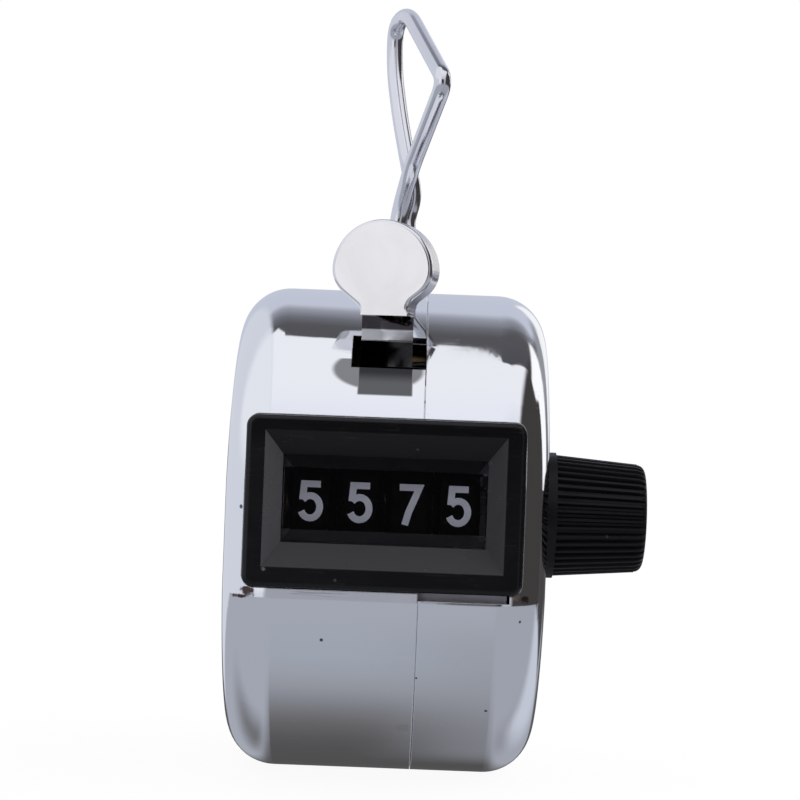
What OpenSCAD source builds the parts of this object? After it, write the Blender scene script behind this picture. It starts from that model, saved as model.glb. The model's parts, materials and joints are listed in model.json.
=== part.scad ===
// Hand tally counter: a chromed drum case, a thumb lever, four number wheels and a reset knob.
// +X runs along the drum from the flat left face to the knob, -Y is the window side, +Z is up.
// The origin is the centre of the flat left face, on the drum's axis.

/* [Case] */
// Diameter of the drum
case_d = 45; // [44.4:0.1:47]
// Length of the drum along its axis
case_w = 28.4; // [28:0.1:32]
// Thickness of the drawn sheet
wall_t = 0.7; // [0.5:0.05:0.9]
// Rounding between the drum and its end faces
edge_r = 4.5; // [4:0.1:5]
// Depth that the flat front is set in below the round
flat_depth = 0.6; // [0.5:0.05:0.8]
// Distance of the shells' joint from the left face
seam_x = 17.2; // [17:0.05:18]
// Width of the line between the shells
seam_gap = 0.08; // [0.04:0.02:0.12]
// Length of the lap inside the joint
lap_len = 1.6; // [1:0.1:2.5]
// Thickness of the lap
lap_t = 0.5; // [0.4:0.05:0.7]

/* [Window] */
// Width of the window frame
window_w = 24.2; // [24:0.05:24.6]
// Height of the window frame
window_h = 14.9; // [14.6:0.05:15.2]
// Height of the window frame's centre above the drum's axis
window_z = 3.2; // [3:0.05:3.3]
// How far the frame's face stands in front of the flat
window_proud = 0.35; // [0.2:0.05:0.6]
// Depth of the frame from its face to its back
window_depth = 4.6; // [4.4:0.05:4.7]
// Rounding of the frame's corners
window_corner_r = 1; // [0.8:0.1:1.4]
// Rounding of the frame's front edge
window_edge_r = 0.45; // [0.3:0.05:0.6]
// Width of the bevel at its outer edge
bevel_w = 20.9; // [20.6:0.1:21.4]
// Height of the bevel at its outer edge
bevel_h = 11.8; // [11.5:0.1:12.1]
// Height of the opening's centre above the frame's centre
bevel_rise = 0.25; // [0.1:0.05:0.35]
// Depth of the bevel
bevel_depth = 1.7; // [1.4:0.05:1.8]
// Width of the opening
opening_w = 17.8; // [17.7:0.05:18.2]
// Height of the opening
opening_h = 7.6; // [7.4:0.05:7.8]
// How far the upper and lower lips reach into the opening
lip_reach = 1.1; // [0.9:0.05:1.2]
// Thickness of the clear pane
pane_t = 0.6; // [0.4:0.05:0.7]
// Extra depth of the right shell's cut-out below the frame
cutout_drop = 0.7; // [0.4:0.1:0.9]

/* [Number wheels] */
// Diameter of a number wheel
wheel_d = 18; // [17.8:0.05:18.1]
// Distance between neighbouring wheels
wheel_pitch = 4.31; // [4.3:0.01:4.34]
// Width of a wheel's rim
rim_w = 3.1; // [3:0.05:3.15]
// Thickness of a wheel's rim
rim_t = 1; // [0.8:0.05:1.2]
// Thickness of a wheel's web
web_t = 1; // [0.8:0.1:1.4]
// Diameter of a wheel's hub
hub_d = 5.6; // [5:0.1:6]
// Gap between the pane's back and the wheels
pane_gap = 1.1; // [1:0.05:1.3]
// Height of the wheels' axis above the drum's axis
axle_z = 2.35; // [2.3:0.05:2.45]
// Diameter of the main shaft
shaft_d = 3; // [2.8:0.1:3.2]
// Teeth on the gear ring of a wheel
wheel_teeth = 20;
// Teeth on a transfer pinion
pinion_teeth = 8;
// Width of a gear ring
gear_w = 0.5; // [0.4:0.05:0.55]
// Diameter of the pinions' shaft
pinion_shaft_d = 1.6; // [1.4:0.1:1.8]
// Diameter of the ratchet wheel over its teeth
ratchet_d = 6.8; // [6.6:0.05:6.9]
// Thickness of the ratchet wheel
ratchet_w = 1.1; // [0.9:0.05:1.2]

/* [Thumb lever] */
// Thickness of the lever's sheet
lever_t = 0.8; // [0.7:0.05:0.9]
// Width of the lever's strip
strip_w = 4.6; // [4.4:0.05:4.8]
// Distance of the strip's middle from the left face
strip_x = 13.65; // [13.5:0.05:13.8]
// Diameter of the thumb pad
pad_d = 9.2; // [9:0.05:9.3]
// Distance of the pad's centre from the left face
pad_x = 13; // [12.9:0.05:13.2]
// Height of the pad's centre above the top of the drum
pad_rise = 1.2; // [1.1:0.05:1.5]
// Depth of the rim turned back round the pad
pad_rim = 3.1; // [2.6:0.1:3.2]
// Width of the neck under the pad
neck_w = 4.3; // [4.2:0.05:4.5]
// Distance of the sloping shoulders from the pad's centre
shoulder_reach = 3.75; // [3.7:0.05:3.8]
// Turn of the pad about its own upright, towards the left
pad_yaw = 14; // [10:1:16]
// Width of the slot for the lever
slot_w = 6.6; // [6.4:0.05:6.65]
// Diameter of the lever's pivot pin
pivot_d = 2; // [1.8:0.1:2.2]

/* [Reset knob] */
// Diameter of the knob's collar
collar_d = 11.4; // [11:0.1:11.8]
// Length of the collar
collar_len = 0.8; // [0.6:0.1:1.2]
// Diameter of the flutes' tips at the collar
knob_base_d = 11; // [10.8:0.1:11.2]
// Diameter of the flutes' tips at the outer end
knob_end_d = 9.7; // [9.4:0.1:10]
// Length of the knob
knob_len = 8.9; // [8.5:0.1:10]
// Number of flutes
flutes = 44; // [36:2:48]
// Depth of a flute
flute_depth = 0.4; // [0.3:0.05:0.5]

/* [Finger ring] */
// Thickness of the ring's wire
wire_d = 1.6; // [1.5:0.05:1.65]
// Distance of the ring's hinge behind the drum's axis
ring_y = 3; // [2.5:0.1:3.5]
// Distance of the front tail from the left face
tail_x = 14; // [13.9:0.05:14.1]
// Distance between the two tails
tail_gap = 1.8; // [1.75:0.05:1.9]
// Turn of the ring about its upright, with the near side to the right
ring_yaw = 13; // [11:1:15]

/* [Frame] */
// Thickness of a side plate
plate_t = 0.8; // [0.7:0.05:0.9]
// Clearance between a side plate and the case
plate_gap = 0.65; // [0.5:0.05:0.9]
// Diameter of a tie rod
rod_d = 2; // [1.8:0.1:2.2]
// Diameter of a spacer tube
spacer_d = 3.4; // [3.2:0.1:3.8]

/* [Fits] */
// Radial clearance of a shaft in its bore
run_gap = 0.05; // [0.03:0.01:0.08]
// Clearance round a seated piece
seat_gap = 0.05; // [0.03:0.01:0.08]
// Side clearance between moving pieces
side_gap = 0.15; // [0.1:0.05:0.2]

/* [Hidden] */
$fn = 96;
eps = 0.01;
far = 60;

case_r = case_d / 2;
front_y = case_r - flat_depth;
lap_inset = wall_t + seat_gap + lap_t;

// The window's middle stands a little left of the drum's.
window_shift = 0.2;
window_x = case_w / 2 - window_shift;
face_y = -(front_y + window_proud);
back_y = face_y + window_depth;
opening_z = window_z + bevel_rise;
pane_y = face_y + bevel_depth;
lip_y = pane_y + pane_t + seat_gap;
rail_h = 1.5;
rail_gap = 0.25;
hopper_side = (bevel_w - opening_w) / 2 / bevel_depth;
hopper_top = (bevel_h - opening_h) / 2 / bevel_depth;

wheel_r = wheel_d / 2;
wheel_gap = 0.4;
axle_y = pane_y + pane_t + pane_gap + wheel_r;
wheel_x = [for (i = [0:3]) window_x + (i - 1.5) * wheel_pitch];
hub_w = wheel_pitch - 0.1;
pitch_r = 0.8 * wheel_r;
gear_module = 2 * pitch_r / wheel_teeth;
pinion_r = pinion_teeth * gear_module / 2;
tooth_h = 0.58;
gear_tip_r = pitch_r + tooth_h;
pinion_tip_r = pinion_r + tooth_h;
root_gap = 0.2;
gear_centres = pitch_r + pinion_r;
pinion_angle = -58;
pinion_y = axle_y + gear_centres * cos(pinion_angle);
pinion_z = axle_z + gear_centres * sin(pinion_angle);
pinion_w = wheel_pitch - rim_w - 2 * side_gap;
pinion_root = pitch_r - tooth_h - root_gap;
transfer_gap = 0.2;
transfer_tip_r = gear_centres - pinion_tip_r - transfer_gap;

ratchet_x = wheel_x[3] + hub_w / 2;
ratchet_teeth = 10;
ratchet_tooth = 0.75;

washer_t = 0.3;
plate_left_x = wheel_x[0] - hub_w / 2 - washer_t;
arm_x = ratchet_x + ratchet_w + 0.3;
plate_right_x = arm_x + lever_t + 0.6;
bush_len = case_w - plate_right_x + 0.3;
bush_d = shaft_d + 2;
side_room = case_w - wall_t - plate_right_x - plate_t;
pin_end = 0.4 * side_room;

// The plates keep clear of the case's inner rounding.
round_depth = max(0, plate_right_x + plate_t - case_w + edge_r);
plate_r = case_r - edge_r + sqrt((edge_r - wall_t) ^ 2 - round_depth ^ 2) - plate_gap;

shaft_start = plate_left_x - plate_t - 1.4;
clip_t = 0.5;
clip_r = shaft_d / 2 - 0.35;
clip_x = plate_left_x - plate_t - clip_t - side_gap;
knob_x = case_w + 0.15;
knob_end = knob_x + knob_len;
shaft_end = knob_end - 1.6;

pivot_y = 4;
pivot_z = 0.5;
eye_r = pivot_d / 2 + run_gap + lever_t;
strip_y = 8.4 - case_r;
strip_top = case_r - 7.5;
strip_lean = 1;
bow_r = norm([strip_y + strip_lean - axle_y, strip_top - axle_z]);
bow_front = atan2(strip_top - axle_z, strip_y + strip_lean - axle_y);
tail_y = 13.4;
press_angle = 6.6;
strip_exit = sqrt(case_r ^ 2 - strip_y ^ 2);
strip_angle = atan2(strip_exit, -strip_y);
slot_front = strip_angle - 9.4;
slot_back = strip_angle + 1.8;
jog_low = strip_exit + 1.1;
pad_y = strip_y - 1.1;
pad_z = case_r + pad_rise;
rim_sheet = 0.5;
shoulder_angle = 38;
shoulder_r = 1.1;
cheek_r = 2.8;
neck_low = -3.96;
neck_shift = 0.55 * (strip_x - pad_x);

pawl_pin_d = 1.2;
pawl_y = axle_y - 5.15;
pawl_z = axle_z + 6.65;
pawl_w = 0.9;
pawl_x = ratchet_x + (ratchet_w - pawl_w) / 2;

bridge_y = 7;
bridge_d = 7;
bridge_z = plate_r - 8.6;
spring_y = 10.6;
spring_d = 3.4;
spring_wire = 0.4;
spring_turns = 6;

// Tie rods: distance inside the plate's edge and angle above the horizontal at the back.
rod_places = [for (p = [[3.9, -35.6], [2.1, 58.4], [2.4, -111.2]]) (plate_r - p[0]) * [cos(p[1]), sin(p[1])]];
rod_end = wall_t + 0.25;

// The ring's feet turn in a saddle just under the lap.
foot_z = sqrt((case_r - lap_inset) ^ 2 - (ring_y + wire_d / 2) ^ 2) - wire_d / 2 - 0.1;
foot_len = 2.6;
foot_bend = 0.9;
ring_slot_w = tail_gap + wire_d + 0.4;
ring_slot_l = wire_d + 2.1;

// Turns what is drawn in the side view (y, z) and extruded upwards, so that it runs from x towards +X.
module side(x) {
    translate([x, 0, 0]) rotate([90, 0, 90]) children();
}

// Cylinder along X from x, with its axis at (y, z).
module rod(x, y, z, r, len) {
    translate([x, y, z]) rotate([0, 90, 0]) cylinder(r = r, h = len);
}

// Pin of radius r through both side plates, a little longer than the frame is wide.
module cross_pin(y, z, r) {
    rod(plate_left_x - plate_t - pin_end, y, z, r, plate_right_x - plate_left_x + 2 * (plate_t + pin_end));
}

// Half section of the drum: radius to the right, the drum's axis upwards, both outer corners rounded.
module drum_section(r, x0, x1, round_r) {
    translate([0, x0 + round_r]) square([r, x1 - x0 - 2 * round_r]);
    translate([0, x0]) square([r - round_r, x1 - x0]);
    translate([r - round_r, x0 + round_r]) circle(r = round_r);
    translate([r - round_r, x1 - round_r]) circle(r = round_r);
}

// The drum with its flat front, set in by the given distance on every side.
module drum(inset) {
    x0 = inset;
    x1 = case_w - inset;
    intersection() {
        side(0) rotate_extrude() drum_section(case_r - inset, x0, x1, edge_r - inset);
        translate([0, 0, -far]) linear_extrude(2 * far) rotate(-90)
            front_section(front_y - inset, x0, x1, edge_r - inset);
    }
}

// Plan of the flat front: depth to the right, the drum's axis upwards, running well past the back.
module front_section(front, x0, x1, round_r) {
    translate([-far, x0]) square([far + front - round_r, x1 - x0]);
    translate([0, x0 + round_r]) square([front, x1 - x0 - 2 * round_r]);
    translate([front - round_r, x0 + round_r]) circle(r = round_r);
    translate([front - round_r, x1 - round_r]) circle(r = round_r);
}

// Rectangle with rounded corners, centred.
module round_rect(w, h, r) {
    square([w - 2 * r, h], center = true);
    square([w, h - 2 * r], center = true);
    for (sx = [-1, 1], sy = [-1, 1])
        translate([sx * (w / 2 - r), sy * (h / 2 - r)]) circle(r = r);
}

// Prism along Y from y0 to y1 over a drawing of the front view (x, z).
module front(y0, y1) {
    translate([0, y1, 0]) rotate([90, 0, 0]) linear_extrude(y1 - y0) children();
}

// Everything that both shells are cut by.
module case_cuts() {
    front(-far, back_y + 2) translate([window_x, window_z])
        round_rect(window_w + 2 * seat_gap, window_h + 2 * seat_gap, window_corner_r + seat_gap);
    ring_slot();
}

// Slot in the top of the drum that the ring's tails pass through.
module ring_slot() {
    translate([tail_x + tail_gap / 2 - ring_slot_w / 2, ring_y - ring_slot_l / 2, case_r - 3])
        cube([ring_slot_w, ring_slot_l, 6]);
}

// Slot in the upper front that the lever swings in, from the given angle, square to the drum at its middle.
module lever_slot(front_angle) {
    middle = 180 - (front_angle + slot_back) / 2;
    length = 2 * (case_r - wall_t) * sin((slot_back - front_angle) / 2);
    rotate([middle, 0, 0])
        translate([seam_x - slot_w, case_r - 3, -length / 2])
        cube([slot_w + lap_len + 1, 6, length]);
}

module case_left() {
    color([0.82, 0.83, 0.85]) difference() {
        intersection() {
            drum(0);
            translate([-1, -far, -far]) cube([seam_x - seam_gap / 2 + 1, 2 * far, 2 * far]);
        }
        drum(wall_t);
        case_cuts();
        lever_slot(slot_front);
    }
}

module case_right() {
    color([0.82, 0.83, 0.85]) difference() {
        union() {
            intersection() {
                drum(0);
                translate([seam_x + seam_gap / 2, -far, -far]) cube([case_w, 2 * far, 2 * far]);
            }
            intersection() {
                drum(wall_t + seat_gap);
                translate([seam_x - lap_len, -far, -far]) cube([lap_len + seam_gap, 2 * far, 2 * far]);
            }
        }
        intersection() {
            drum(wall_t);
            translate([seam_x + lap_len, -far, -far]) cube([case_w, 2 * far, 2 * far]);
        }
        intersection() {
            drum(lap_inset);
            translate([seam_x - lap_len - 1, -far, -far]) cube([2 * lap_len + 1 + eps, 2 * far, 2 * far]);
        }
        case_cuts();
        translate([seam_x - lap_len - 1, 0, 0]) front(-far, back_y + 2)
            translate([0, window_z - window_h / 2 - cutout_drop])
            square([window_x + window_w / 2 - seam_x + lap_len + 1 - window_corner_r, window_h / 2]);
        difference() {
            lever_slot(slot_front - 3);
            translate([seam_x, -far, -far]) cube([case_w, 2 * far, 2 * far]);
        }
        rod(case_w - 3, axle_y, axle_z, bush_d / 2 + seat_gap, 6);
    }
}

// Plate seen from the front with rounded corners and a rounded front edge; its face lies at y.
module soft_plate(w, h, y, depth, corner_r, r) {
    front(y + r, y + depth) round_rect(w, h, corner_r);
    front(y, y + r + eps) round_rect(w - 2 * r, h - 2 * r, corner_r - r);
    for (s = [-1, 1]) {
        translate([-w / 2 + corner_r, y + r, s * (h / 2 - r)])
            rotate([0, 90, 0]) cylinder(r = r, h = w - 2 * corner_r);
        translate([s * (w / 2 - r), y + r, -h / 2 + corner_r])
            cylinder(r = r, h = h - 2 * corner_r);
    }
    for (sx = [-1, 1], sz = [-1, 1])
        translate([sx * (w / 2 - corner_r), y + r, sz * (h / 2 - corner_r)])
            rotate([90, 0, 0]) rotate_extrude() translate([corner_r - r, 0]) circle(r = r);
}

// Four-sided hopper that narrows from the bevel's outer edge to the opening.
module bevel_hopper() {
    intersection() {
        translate([window_x, 0, -far / 2]) linear_extrude(far) polygon([
            [-bevel_w / 2 - hopper_side, face_y - 1], [bevel_w / 2 + hopper_side, face_y - 1],
            [opening_w / 2, pane_y], [-opening_w / 2, pane_y]
        ]);
        side(0) linear_extrude(far) polygon([
            [face_y - 1, opening_z - bevel_h / 2 - hopper_top],
            [face_y - 1, opening_z + bevel_h / 2 + hopper_top],
            [pane_y, opening_z + opening_h / 2], [pane_y, opening_z - opening_h / 2]
        ]);
    }
}

module window_frame() {
    color([0.09, 0.09, 0.1]) difference() {
        translate([window_x, 0, window_z])
            soft_plate(window_w, window_h, face_y, window_depth, window_corner_r, window_edge_r);
        bevel_hopper();
        front(pane_y - eps, lip_y) translate([window_x, opening_z])
            square([opening_w, opening_h], center = true);
        front(lip_y - eps, back_y + 1) translate([window_x, opening_z])
            square([opening_w, opening_h - 2 * lip_reach], center = true);
        rod(window_x - opening_w / 2, axle_y, axle_z, wheel_r + wheel_gap, opening_w);
    }
}

module window_pane() {
    color([0.85, 0.88, 0.9, 0.3]) front(pane_y, pane_y + pane_t)
        translate([window_x, opening_z])
        square([opening_w - 2 * seat_gap, opening_h - 2 * seat_gap], center = true);
}

// Rail behind the lap that the frame stands on, seen through the right shell's deeper cut-out.
module window_rail() {
    y = lap_inset + rail_gap - front_y;
    w = window_w - 2.4;
    color([0.72, 0.7, 0.71]) translate([window_x - w / 2, y, window_z - window_h / 2 - seat_gap - rail_h])
        cube([w, plate_t, rail_h]);
}

// Side view of a frame plate with its bores and two windows.
module plate_outline() {
    difference() {
        intersection() {
            circle(r = plate_r);
            translate([back_y, -plate_r]) square([plate_r - back_y, 2 * plate_r]);
        }
        translate([axle_y, axle_z]) circle(r = shaft_d / 2 + run_gap);
        translate([pinion_y, pinion_z]) circle(r = pinion_shaft_d / 2 + seat_gap);
        translate([pivot_y, pivot_z]) circle(r = pivot_d / 2 + seat_gap);
        for (p = rod_places) translate(p) circle(r = rod_d / 2 + seat_gap);
        translate([-2, 13.6]) circle(r = 3.4);
        translate([6, -9]) circle(r = 3.4);
        translate([14, 2]) circle(r = 2.6);
    }
}

module frame_plate_left() {
    color([0.62, 0.62, 0.64]) side(plate_left_x - plate_t) linear_extrude(plate_t) plate_outline();
}

module frame_plate_right() {
    color([0.62, 0.62, 0.64]) side(plate_right_x) linear_extrude(plate_t) difference() {
        plate_outline();
        translate([axle_y, axle_z]) circle(r = bush_d / 2 + seat_gap);
    }
}

module tie_rods() {
    color([0.66, 0.66, 0.68]) for (p = rod_places)
        rod(rod_end, p[0], p[1], rod_d / 2, case_w - 2 * rod_end);
}

module spacer_tubes() {
    color([0.7, 0.66, 0.5]) for (p = rod_places) difference() {
        rod(plate_left_x, p[0], p[1], spacer_d / 2, plate_right_x - plate_left_x);
        rod(plate_left_x - 1, p[0], p[1], rod_d / 2 + seat_gap, case_w);
    }
}

module frame_bridge() {
    color([0.62, 0.62, 0.64])
        translate([plate_left_x, bridge_y, bridge_z])
        cube([plate_right_x - plate_left_x, bridge_d, plate_t]);
}

module main_shaft() {
    color([0.7, 0.7, 0.72]) difference() {
        rod(shaft_start, axle_y, axle_z, shaft_d / 2, shaft_end - shaft_start);
        translate([plate_left_x + 0.4, axle_y - 0.35, axle_z + shaft_d / 2 - 0.5])
            cube([ratchet_x - plate_left_x, 0.7, 2]);
        difference() {
            rod(clip_x, axle_y, axle_z, shaft_d, clip_t);
            rod(clip_x - 1, axle_y, axle_z, clip_r, clip_t + 2);
        }
    }
}

// Spring clip that sits in the shaft's groove outside the left plate.
module shaft_clip() {
    color([0.3, 0.3, 0.32]) side(clip_x + seat_gap / 2) linear_extrude(clip_t - seat_gap) difference() {
        translate([axle_y, axle_z]) circle(r = shaft_d / 2 + 1.3);
        translate([axle_y, axle_z]) circle(r = clip_r + seat_gap);
        translate([axle_y - clip_r * 0.8, axle_z - 4]) square([clip_r * 1.6, 4 - clip_r * 0.8]);
    }
}

module shaft_washer() {
    color([0.75, 0.68, 0.45]) difference() {
        rod(plate_left_x + 0.02, axle_y, axle_z, hub_d / 2, washer_t - 0.12);
        rod(plate_left_x - 1, axle_y, axle_z, shaft_d / 2 + run_gap, 3);
    }
}

module knob_bush() {
    color([0.75, 0.62, 0.35]) difference() {
        union() {
            rod(plate_right_x, axle_y, axle_z, bush_d / 2, bush_len - 0.2);
            rod(plate_right_x + plate_t + seat_gap, axle_y, axle_z, bush_d / 2 + 0.9, pin_end);
        }
        rod(plate_right_x - 1, axle_y, axle_z, shaft_d / 2 + run_gap, bush_len + 2);
    }
}

module knob_insert() {
    color([0.75, 0.62, 0.35]) difference() {
        rod(knob_x + 0.4, axle_y, axle_z, shaft_d / 2 + 1, knob_len - 2);
        rod(knob_x, axle_y, axle_z, shaft_d / 2 + 0.01, shaft_end - knob_x);
    }
}

function fluted(r, depth, n) = [
    for (i = [0:n - 1], j = [0:3])
        let (a = 360 / n * (i + [0, 0.3, 0.5, 0.8][j]), q = j < 2 ? r : r - depth)
        [q * cos(a), q * sin(a)]
];

module reset_knob() {
    grip_len = knob_len - collar_len;
    taper = knob_end_d / knob_base_d;
    color([0.07, 0.07, 0.08]) translate([knob_x, axle_y, axle_z]) rotate([0, 90, 0]) difference() {
        union() {
            cylinder(r = collar_d / 2, h = collar_len);
            intersection() {
                translate([0, 0, collar_len - 0.01]) linear_extrude(grip_len + 0.01, scale = taper)
                    polygon(fluted(knob_base_d / 2, flute_depth, flutes));
                rotate_extrude() {
                    square([knob_end_d / 2 - 0.7, knob_len]);
                    square([knob_base_d, knob_len - 0.7]);
                    translate([knob_end_d / 2 - 0.7, knob_len - 0.7]) circle(r = 0.7);
                }
            }
        }
        translate([0, 0, -1]) cylinder(r = bush_d / 2 + 0.25, h = 1.4);
        translate([0, 0, 0.3]) cylinder(r = shaft_d / 2 + 1.01, h = knob_len - 1.9);
    }
}

// Outline of a small gear: four points for each tooth, root, flank and tip.
function gear_points(teeth, root_r, tip_r, root_share, tip_share, turn) = [
    for (i = [0:teeth - 1], j = [0:3])
        let (
            share = [-root_share, -tip_share, tip_share, root_share][j],
            q = [root_r, tip_r, tip_r, root_r][j],
            a = turn + 360 / teeth * (i + share / 2)
        )
        [q * cos(a), q * sin(a)]
];

// One number wheel: rim, web, hub, gear ring on the right and two-tooth transfer disc on the left.
module number_wheel(i) {
    x = wheel_x[i];
    gear_x = x + rim_w / 2;
    difference() {
        union() {
            difference() {
                rod(x - rim_w / 2, axle_y, axle_z, wheel_r, rim_w);
                rod(x - rim_w / 2 - 1, axle_y, axle_z, wheel_r - rim_t, rim_w + 2);
            }
            rod(x - web_t / 2, axle_y, axle_z, wheel_r - rim_t / 2, web_t);
            rod(x - hub_w / 2, axle_y, axle_z, hub_d / 2, hub_w);
            if (i < 3) {
                side(gear_x - 0.6) translate([axle_y, axle_z]) linear_extrude(gear_w + 0.6) difference() {
                    polygon(gear_points(wheel_teeth, pinion_root, gear_tip_r, 0.55, 0.25, pinion_angle));
                    circle(r = pinion_root - 1);
                }
                rod(gear_x - 0.6 - (rim_w - web_t) / 2, axle_y, axle_z, pinion_root, 0.6 + (rim_w - web_t) / 2);
            }
            if (i > 0) {
                side(x - hub_w / 2 + 0.02) translate([axle_y, axle_z]) linear_extrude(gear_w + 0.2)
                    circle(r = transfer_tip_r - 0.8);
                for (t = [-9, 9])
                    side(x - hub_w / 2 + 0.02) translate([axle_y, axle_z]) rotate(pinion_angle + t)
                        linear_extrude(gear_w + 0.2)
                        translate([transfer_tip_r - 1.2, -0.35]) square([1.2, 0.7]);
            }
        }
        rod(x - wheel_pitch, axle_y, axle_z, shaft_d / 2 + run_gap, 2 * wheel_pitch);
    }
}

module wheel_thousands() { color([0.1, 0.1, 0.11]) number_wheel(0); }
module wheel_hundreds() { color([0.1, 0.1, 0.11]) number_wheel(1); }
module wheel_tens() { color([0.1, 0.1, 0.11]) number_wheel(2); }
module wheel_units() { color([0.1, 0.1, 0.11]) number_wheel(3); }

module ratchet_wheel() {
    tip_r = ratchet_d / 2;
    color([0.6, 0.6, 0.62]) side(ratchet_x) translate([axle_y, axle_z]) linear_extrude(ratchet_w) difference() {
        polygon([
            for (i = [0:ratchet_teeth - 1], j = [0:1])
                let (a = 360 / ratchet_teeth * (i + 0.06 * j), q = j == 0 ? tip_r : tip_r - ratchet_tooth)
                [q * cos(a), q * sin(a)]
        ]);
        circle(r = shaft_d / 2 + run_gap);
    }
}

// Transfer pinion between wheel i and the wheel to its right.
module pinion(i) {
    x = wheel_x[i] + rim_w / 2 + side_gap;
    color([0.85, 0.82, 0.72]) side(x) translate([pinion_y, pinion_z]) linear_extrude(pinion_w) difference() {
        polygon(gear_points(
            pinion_teeth, pinion_r - tooth_h - root_gap, pinion_tip_r, 0.55, 0.22,
            pinion_angle + 180 + 180 / pinion_teeth
        ));
        circle(r = pinion_shaft_d / 2 + run_gap);
    }
}

module pinion_thousands() { pinion(0); }
module pinion_hundreds() { pinion(1); }
module pinion_tens() { pinion(2); }

module pinion_shaft() {
    color([0.7, 0.7, 0.72]) cross_pin(pinion_y, pinion_z, pinion_shaft_d / 2);
}

// Strip of sheet in the side view along a line of points, with round bends, from x over the width w.
module bent_strip(points, t, x, w) {
    side(x) linear_extrude(w) {
        for (i = [0:len(points) - 2]) {
            step = points[i + 1] - points[i];
            translate(points[i]) rotate(atan2(step[1], step[0])) translate([0, -t / 2])
                square([norm(step), t]);
        }
        for (i = [1:len(points) - 2]) translate(points[i]) circle(r = t / 2);
    }
}

// Part of a ring about the wheels' axis, from one angle to another.
module bow(a0, a1, r, t, x, w) {
    side(x) translate([axle_y, axle_z, 0]) rotate_extrude(angle = a1 - a0, start = a0)
        translate([r - t / 2, 0]) square([t, w]);
}

// Outline of the pad: round above, fuller arcs at its cheeks, sloping shoulders and hollows down to the
// neck; drawn in by the given distance.
module pad_outline(inset) {
    out = [sin(shoulder_angle), -cos(shoulder_angle)];
    cheek = pad_d / 2 - cheek_r;
    cheek_angle = acos((shoulder_reach - cheek_r) / cheek) + shoulder_angle - 90;
    middle = cheek * [cos(cheek_angle), sin(cheek_angle)];
    touch = (pad_d / 2 - inset) * [cos(cheek_angle), sin(cheek_angle)];
    end = middle + (cheek_r - inset) * out;
    intersection() {
        circle(r = pad_d / 2 - inset);
        translate([-pad_d, touch[1]]) square([2 * pad_d, pad_d]);
    }
    translate([neck_shift + inset - neck_w / 2, neck_low]) square([neck_w - 2 * inset, -neck_low]);
    for (s = [-1, 1]) {
        hollow_x = neck_w / 2 + s * neck_shift + shoulder_r;
        hollow_z = (hollow_x * out[0] - shoulder_reach - shoulder_r) / -out[1];
        foot = [hollow_x, hollow_z] - (shoulder_r + inset) * out;
        intersection() {
            translate([s * middle[0], middle[1]]) circle(r = cheek_r - inset);
            translate([s > 0 ? 0 : -pad_d, -pad_d]) square([pad_d, pad_d + touch[1]]);
        }
        difference() {
            polygon([
                [0, hollow_z], [s * hollow_x, hollow_z], [s * foot[0], foot[1]], [s * end[0], end[1]],
                [s * middle[0], middle[1]], [s * touch[0] * 0.9, touch[1] + 0.2], [0, touch[1] + 0.2]
            ]);
            translate([s * hollow_x, hollow_z]) circle(r = shoulder_r + inset);
        }
    }
}

// Pad and neck as one sheet with its rim turned back, open below.
module thumb_pad() {
    translate([pad_x, pad_y, pad_z]) rotate([0, 0, -pad_yaw]) difference() {
        front(-lever_t / 2, pad_rim - lever_t / 2) pad_outline(0);
        front(lever_t / 2, pad_rim) pad_outline(rim_sheet);
        front(lever_t / 2, pad_rim) translate([neck_shift + rim_sheet - neck_w / 2, neck_low - 1])
            square([neck_w - 2 * rim_sheet, 2]);
    }
}

module thumb_lever() {
    x = strip_x - strip_w / 2;
    neck = [
        [strip_y - 0.5, pad_z + neck_low + 0.25], [strip_y, jog_low], [strip_y, jog_low - 1],
        [strip_y + strip_lean, strip_top]
    ];
    back = atan2(pivot_z - axle_z, pivot_y - axle_y);
    bow_end = [axle_y + bow_r * cos(8), axle_z + bow_r * sin(8)];
    color([0.8, 0.8, 0.8]) difference() {
        union() {
            thumb_pad();
            bent_strip(neck, lever_t, x, strip_w);
            bow(8, bow_front, bow_r, lever_t, x, strip_w);
            bent_strip([bow_end, [pivot_y, pivot_z], [tail_y, pivot_z + 3]], lever_t, x, strip_w);
            rod(x, pivot_y, pivot_z, eye_r, strip_w);
            bow(86, 107, bow_r, lever_t, x, arm_x + lever_t - x);
            bent_strip([
                [axle_y + bow_r * cos(99), axle_z + bow_r * sin(99)], [pawl_y, pawl_z + 2], [pawl_y, pawl_z]
            ], 2.4, arm_x, lever_t);
            rod(arm_x, pawl_y, pawl_z, 1.5, lever_t);
        }
        rod(x - 1, pivot_y, pivot_z, pivot_d / 2 + run_gap, strip_w + 2);
        rod(arm_x - 1, pawl_y, pawl_z, pawl_pin_d / 2 + 0.01, lever_t + 2);
    }
}

module lever_pin() {
    color([0.7, 0.7, 0.72]) cross_pin(pivot_y, pivot_z, pivot_d / 2);
}

// Points of a ring of the coil's wire at angle a on a helix that climbs from z0 to z1.
function coil_ring(a, turns, r, z0, z1, wire, sides) = [
    for (k = [0:sides - 1])
        let (b = 360 / sides * k, q = r + wire / 2 * cos(b))
        [q * cos(a), q * sin(a), z0 + (z1 - z0) * a / (360 * turns) + wire / 2 * sin(b)]
];

// Compression spring on the upright at (x, y), as one unbroken tube of six-sided wire.
module coil(x, y, z0, z1, d, wire, turns) {
    per_turn = 8;
    sides = 6;
    rings = per_turn * turns;
    points = [
        for (i = [0:rings]) each coil_ring(360 / per_turn * i, turns, (d - wire) / 2,
            z0 + wire / 2, z1 - wire / 2, wire, sides)
    ];
    translate([x, y, 0]) polyhedron(points, tube_faces(rings, sides));
}

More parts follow.
